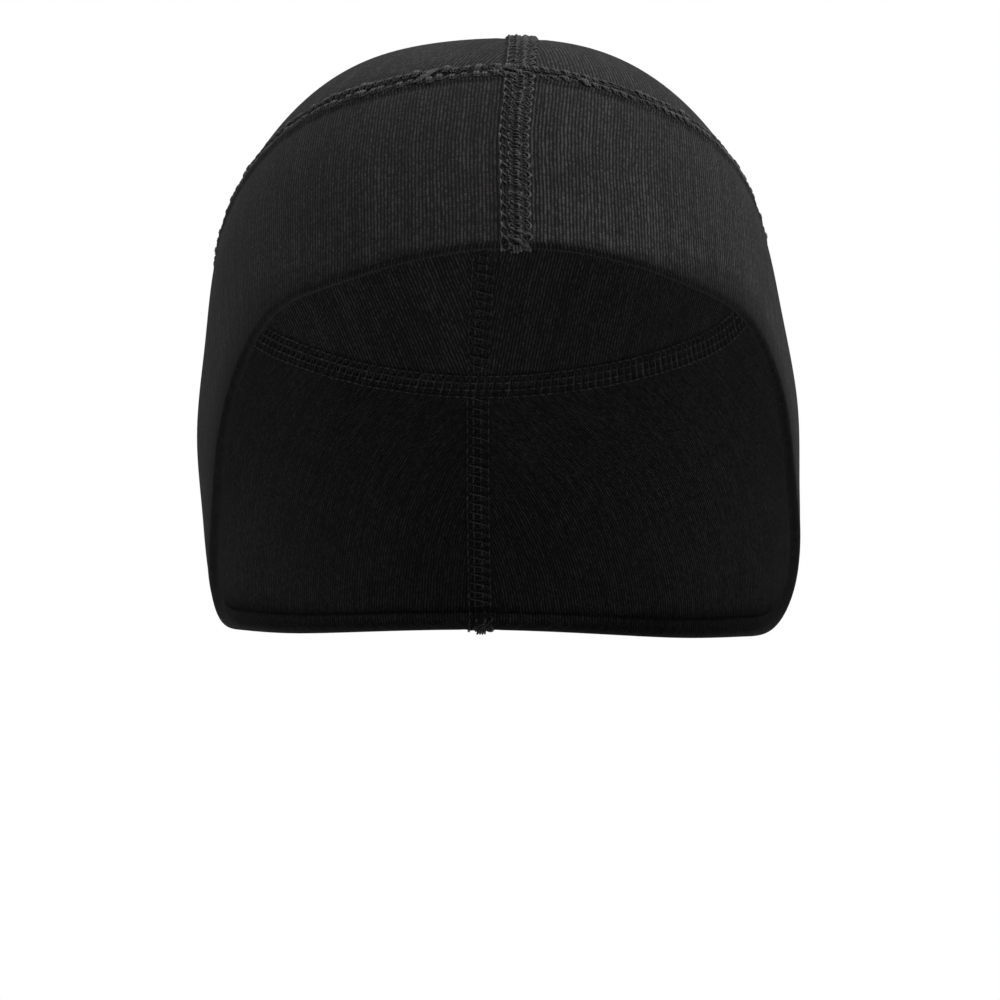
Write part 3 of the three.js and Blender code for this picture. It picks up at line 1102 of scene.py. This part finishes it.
# The knit: width of a wale and height of a course in millimetres, slant of the loops in
# courses, mean height, and the most that a loop may be lit
WALE = 0.84
COURSE = 0.7
LOOP_SLANT = 0.55
MEAN_SHAPE = 0.35
LIGHTEST = 2.0

# How the wales wander: three noises, with their scales across and down and their share
WANDER = ((0.08, 0.05, 0.8), (0.5, 0.35, 0.4), (1.3, 0.22, 0.6))

# Height of the knit, by distance from the middle of a wale and of a loop: two distances
# and the heights there
WALE_SIDES = (0.36, 0.1, 0.0, 1.2)
WALE_MIDDLE = (0.0, 0.08, 0.8, 1.0)
LOOP_ENDS = (0.5, 0.1, 0.55, 1.0)

# Shades of single loops and of whole wales: where they are drawn, and how dark and light
LOOP_DRAW = 3.0
LOOP_SHADES = (0.45, 1.55)
WALE_DRAW = (7.0, 1.0)
WALE_SHADES = (0.75, 1.25)

# Shades over the cloth: scale, detail and roughness of a noise, and how dark and light.
# The streaks and the lint also have scales across and down.
STREAK_SCALES = (3.7, 0.8)
STREAKS = (1.0, 1.0, 0.5, 0.6, 1.4)
LINT_SCALES = (2.2, 1.2, 4.0)
LINT = (1.0, 2.0, 0.7, 0.5, 1.5)
MOTTLE = (140.0, 3.0, 0.5, 0.85, 1.15)
CLOUDS = (26.0, 2.0, 0.5, 0.9, 1.1)

# Fuzz and bump: a noise's scale, detail and roughness, its share, and the bump's depth
KNIT_FUZZ = (2600.0, 2.0, 0.7)
KNIT_FUZZ_SHARE = 0.35
KNIT_BUMP = 0.16
KNIT_FINISH = (0.9, 0.05, 0.03, 0.5, (0.9, 0.88, 0.88, 1))

# Between these places along X the contrast fades, as painted shade on the side away from the
# key light, and the painted shade along the hem widens
FADE_ASIDE = (-58 * MM, -40 * MM)
HEM_SHADE_LEFT = (-60 * MM, -5 * MM, 0.17, 1.0)
HEM_SHADE_RIGHT = (-5 * MM, 40 * MM, 1.0, 0.2)
HEM_SHADE_HEIGHT = 2.1

# A soft line of painted shade lies where the turned hem ends: its height over the edge in
# millimetres, its reach to both sides and its shade
FOLD_ABOVE = 6.4
FOLD_WIDTH = 2.2
FOLD_SHADE = 0.82


def knit_material(name, dark, light, contrast, bump, seam_shade, hem_shade=1.0, fade=1.0):
    """Fine jersey: upright wales of slanting loops, uneven from loop to loop.

    It gets painted shade by the seam shade beside the seams, by the hem shade along the hem,
    and in a soft line where the turned hem ends. Towards -X, beyond the brow, its contrast
    falls to the fade, as painted shade on the side away from the key light."""
    n = Nodes(name)
    across, down = n.split(n.uv("weave"))
    wale = n.math("DIVIDE", across, WALE)
    for *scales, share in WANDER:
        wale = n.plus(wale, n.times(n.noise(n.scaled(across, down, *scales)), share))
    from_wale = n.from_half(wale)
    ridge = n.times(n.spread(from_wale, *WALE_SIDES), n.spread(from_wale, *WALE_MIDDLE))
    course = n.plus(n.math("DIVIDE", down, COURSE), n.times(from_wale, LOOP_SLANT * 2))
    shape = n.times(ridge, n.spread(n.from_half(course), *LOOP_ENDS))

    column = n.math("FLOOR", wale)
    loops = n.chance(n.join(column, n.math("FLOOR", course), LOOP_DRAW), *LOOP_SHADES)
    wales = n.chance(n.join(column, *WALE_DRAW), *WALE_SHADES)
    streaks = n.shade(n.scaled(column, down, *STREAK_SCALES), *STREAKS)
    lint = n.shade(n.scaled(across, down, *LINT_SCALES), *LINT)
    # The colour follows the knit's height: the furrows between wales and loops get painted shade
    # and their tops a painted highlight, times random shades of loops, wales, streaks, mottle
    # and lint
    amount = n.times(shape, loops, streaks, wales, n.shade(n.place(), *MOTTLE), lint)
    aside = n.split(n.place())[0]
    # Painted shade: towards -X, away from the key light, the contrast falls to the fade
    kept = n.spread(aside, *FADE_ASIDE, contrast * fade, contrast)
    plain = n.times(n.math("SUBTRACT", 1.0, kept), MEAN_SHAPE)
    share = n.math("MINIMUM", n.math("MULTIPLY_ADD", amount, kept, plain), LIGHTEST)
    colour = n.blend(share, (*dark, 1), (*light, 1))

    from_seam, from_edge = n.split(n.uv("sewn"))
    # Painted shade beside the seams, where the cloth's raised bed falls away
    beside = n.spread(from_seam, BED_FLAT, BED_DIP_AT, seam_shade, 1.0)
    widen = n.math("MINIMUM", n.spread(aside, *HEM_SHADE_LEFT), n.spread(aside, *HEM_SHADE_RIGHT))
    # Painted shade along the hem's rolled edge, wider at the sides where the edge turns in
    hem = n.spread(n.times(from_edge, widen), 0.0, HEM_SHADE_HEIGHT, hem_shade, 1.0)
    # A soft line of painted shade where the turned hem ends
    from_fold = n.math("ABSOLUTE", n.math("SUBTRACT", from_edge, FOLD_ABOVE))
    fold = n.spread(from_fold, 0.0, FOLD_WIDTH, FOLD_SHADE, 1.0)
    tone = n.times(beside, hem, fold, n.shade(n.place(), *CLOUDS))
    fuzz = n.times(n.noise(n.place(), *KNIT_FUZZ), KNIT_FUZZ_SHARE)
    n.bump(n.plus(n.times(shape, loops), fuzz), KNIT_BUMP, bump)
    return n.finish(n.scale(colour, tone), *KNIT_FINISH)


# The thread: length of a twist in millimetres, plies, the furrow between them with its painted
# shade, and the heights over the cloth between which a painted highlight grows on the thread
TWIST = 0.75
PLIES = 2.0
PLY_FURROW = (0.0, 0.35, 0.0, 1.0)
PLY_SHADES = (0.7, 1.0)
HIGHLIGHT_HEIGHTS = (0.05, 0.8)
THREAD_FLECKS = (900.0, 3.0, 0.6, 0.5, 1.5)
THREAD_GLINT_PATCHES = (260.0, 1.0, 0.5, 0.6, 1.4)
THREAD_DARK = (0.027, 0.0257, 0.0258, 1)
THREAD_LIGHT = (0.1, 0.095, 0.0956, 1)
THREAD_FUZZ = (3200.0, 2.0, 0.7)
THREAD_FUZZ_SHARE = 0.6
THREAD_BUMP = (0.06, 0.9)
THREAD_FINISH = (0.65, 0.18, 0.03, 0.4)


def thread_material(name):
    """Bulky black thread: twisted plies, with a painted highlight where it stands up and painted
    shade where it lies low.
    """
    n = Nodes(name)
    along, around = n.split(n.uv("lay"))
    tall = n.split(n.uv("lift"))[0]
    turn = n.plus(n.math("DIVIDE", along, TWIST), n.times(around, PLIES))
    ply = n.spread(n.from_half(turn), *PLY_FURROW)
    flecks = n.shade(n.place(), *THREAD_FLECKS)
    # Paler patches placed at random stand in for glints on the thread: painted highlight
    glint_patches = n.shade(n.place(), *THREAD_GLINT_PATCHES)
    # Painted shade in the furrow between the plies
    plies = n.spread(ply, 0.0, 1.0, *PLY_SHADES)
    # Painted highlight on raised thread and on its upper side, painted shade low down
    amount = n.times(n.spread(tall, *HIGHLIGHT_HEIGHTS, 0.0, 1.0), flecks, glint_patches, plies)
    fuzz = n.times(n.noise(n.place(), *THREAD_FUZZ), THREAD_FUZZ_SHARE)
    n.bump(n.plus(ply, fuzz), *THREAD_BUMP)
    return n.finish(n.blend(amount, THREAD_DARK, THREAD_LIGHT), *THREAD_FINISH)


# The two band halves are one knit in two painted lightings: the left is darker, with less
# contrast and a fade, as painted shade; the right is paler, with more contrast, as painted light
BAND_DARK = (0.003, 0.0028, 0.0028)

crown_knit = knit_material(
    "crown_knit_look", (0.006, 0.0056, 0.0058), (0.065, 0.0618, 0.0627),
    contrast=0.6, bump=0.6, seam_shade=0.8,
)
shaded_left_band_knit = knit_material(
    "left_band_knit_look", BAND_DARK, (0.052, 0.0492, 0.0499),
    contrast=0.55, bump=0.7, seam_shade=0.8, hem_shade=0.3, fade=0.8,
)
lit_right_band_knit = knit_material(
    "right_band_knit_look", BAND_DARK, (0.061, 0.058, 0.0588),
    contrast=0.68, bump=0.9, seam_shade=0.85, hem_shade=0.2,
)
thread_look = thread_material("seam_thread_look")


def dress(piece, node, material):
    """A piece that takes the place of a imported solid."""
    piece.data.materials.append(material)
    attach(piece, "root")
    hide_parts(node)


panels = (
    (crown_panel("crown_left_knit", -1), "crown_left", "crown_knit", crown_knit),
    (crown_panel("crown_right_knit", 1), "crown_right", "crown_knit", crown_knit),
    (band_panel("band_left_knit", -1), "band_left", "band_knit", shaded_left_band_knit),
    (band_panel("band_right_knit", 1), "band_right", "band_knit", lit_right_band_knit),
)
seams = {
    "front_seam": flat_seam(
        "front_seam_stitches", *centre_line(-SEAM_FRONT, -HEM_BROW), end_clear=0
    ),
    "crown_seam": flat_seam(
        "crown_seam_stitches", *centre_line(-SEAM_FRONT, SEAM_BACK), SEAM_CLEAR, CROWN_ROW_RISE
    ),
    "back_seam": flat_seam("back_seam_stitches", *centre_line(SEAM_BACK, HEM_NAPE), end_clear=0),
    "ring_seam": ring_seam("ring_seam_stitches"),
}
for node, piece in seams.items():
    dress(piece, node, thread_look)
for panel, node, slot, material in panels:
    dress(panel, node, material)

# Floor, light and camera

FLOOR_Z = -0.33
FLOOR_REACH = 0.8
FLOOR_CORNERS = ((-1, -1), (1, -1), (1, 1), (-1, 1))
FLOOR_GRAIN = (3.0, 3.0, 0.5, 0.0, 1.0)
FLOOR_DARK = (0.93, 0.93, 0.93, 1)
FLOOR_LIGHT = (0.96, 0.96, 0.96, 1)
FLOOR_FINISH = (0.9, 0.1)


def floor_material():
    n = Nodes("floor_look")
    grain = n.shade(n.place(), *FLOOR_GRAIN)
    return n.finish(n.blend(grain, FLOOR_DARK, FLOOR_LIGHT), *FLOOR_FINISH)


floor_points = [(x * FLOOR_REACH, y * FLOOR_REACH, FLOOR_Z) for x, y in FLOOR_CORNERS]
floor_mesh = bpy.data.meshes.new("floor")
floor_mesh.from_pydata(floor_points, [], [(0, 1, 2, 3)])
floor = new_object("floor", floor_mesh)
floor.data.materials.append(floor_material())

WORLD_SEEN = 1.0
WORLD_LIGHT = 0.4

world = bpy.data.worlds.new("studio")
bpy.context.scene.world = world
world.use_nodes = True
sky = world.node_tree
background = sky.nodes["Background"]
background.inputs["Color"].default_value = (1, 1, 1, 1)
seen = sky.nodes.new("ShaderNodeLightPath")
level = sky.nodes.new("ShaderNodeMapRange")
level.inputs["To Min"].default_value = WORLD_LIGHT
level.inputs["To Max"].default_value = WORLD_SEEN
sky.links.new(seen.outputs["Is Camera Ray"], level.inputs["Value"])
sky.links.new(level.outputs[0], background.inputs["Strength"])
bpy.context.scene.view_settings.view_transform = "Standard"


# A direction that no light faces in
LIGHT_LEVEL = (0, 1, 0.001)
CAP_MIDDLE = (0, 0, -0.07)


def set_up(thing, directions, place):
    """Turn an object's right, up and back to these directions and put it at a place."""
    pose = np.eye(4)
    pose[:3, :3] = np.stack(directions, 1)
    pose[:3, 3] = place
    thing.matrix_world = Matrix(pose.tolist())


def soft_light(name, place, size, watts):
    """A square soft light that faces the middle of the cap."""
    light = bpy.data.lights.new(name, "AREA")
    light.shape = "SQUARE"
    light.size = size
    light.energy = watts
    back = unit(np.array(place) - CAP_MIDDLE)
    side = unit(np.cross(LIGHT_LEVEL, back))
    set_up(new_object(name, light), [side, np.cross(back, side), back], place)


soft_light("key", place=(0.8, -0.35, 0.75), size=0.8, watts=9)
soft_light("top", place=(-0.1, 0.1, 1.2), size=0.9, watts=8)

# The camera's view: turned, tilted and rolled by degrees, shifted by millimetres from
# the middle of the head, at a distance from it
CAMERA_TURN = 3.15
CAMERA_TILT = -2.0
CAMERA_ROLL = 0.256
CAMERA_ASIDE = 0.7
CAMERA_UP = -19.04
CAMERA_DISTANCE = 800
FOCAL_PIXELS = 3268.2
PICTURE_PIXELS = 1000
SENSOR = 36

turn = CAMERA_TURN * DEGREE
tilt = CAMERA_TILT * DEGREE
roll = CAMERA_ROLL * DEGREE
level_right = np.array([np.cos(turn), -np.sin(turn), 0])
level_ahead = np.array([np.sin(turn), np.cos(turn), 0])
plumb = np.array([0, 0, 1])
tilted_up = np.sin(tilt) * level_ahead + np.cos(tilt) * plumb
ahead = np.cos(tilt) * level_ahead - np.sin(tilt) * plumb
right = np.cos(roll) * level_right + np.sin(roll) * tilted_up
up = np.cos(roll) * tilted_up - np.sin(roll) * level_right
stand = CAMERA_ASIDE * right + CAMERA_UP * up - CAMERA_DISTANCE * ahead
camera_data = bpy.data.cameras.new("camera")
camera_data.sensor_width = SENSOR
camera_data.lens = FOCAL_PIXELS * SENSOR / PICTURE_PIXELS
camera = new_object("camera", camera_data)
set_up(camera, [right, up, -ahead], in_part(stand))
bpy.context.scene.camera = camera
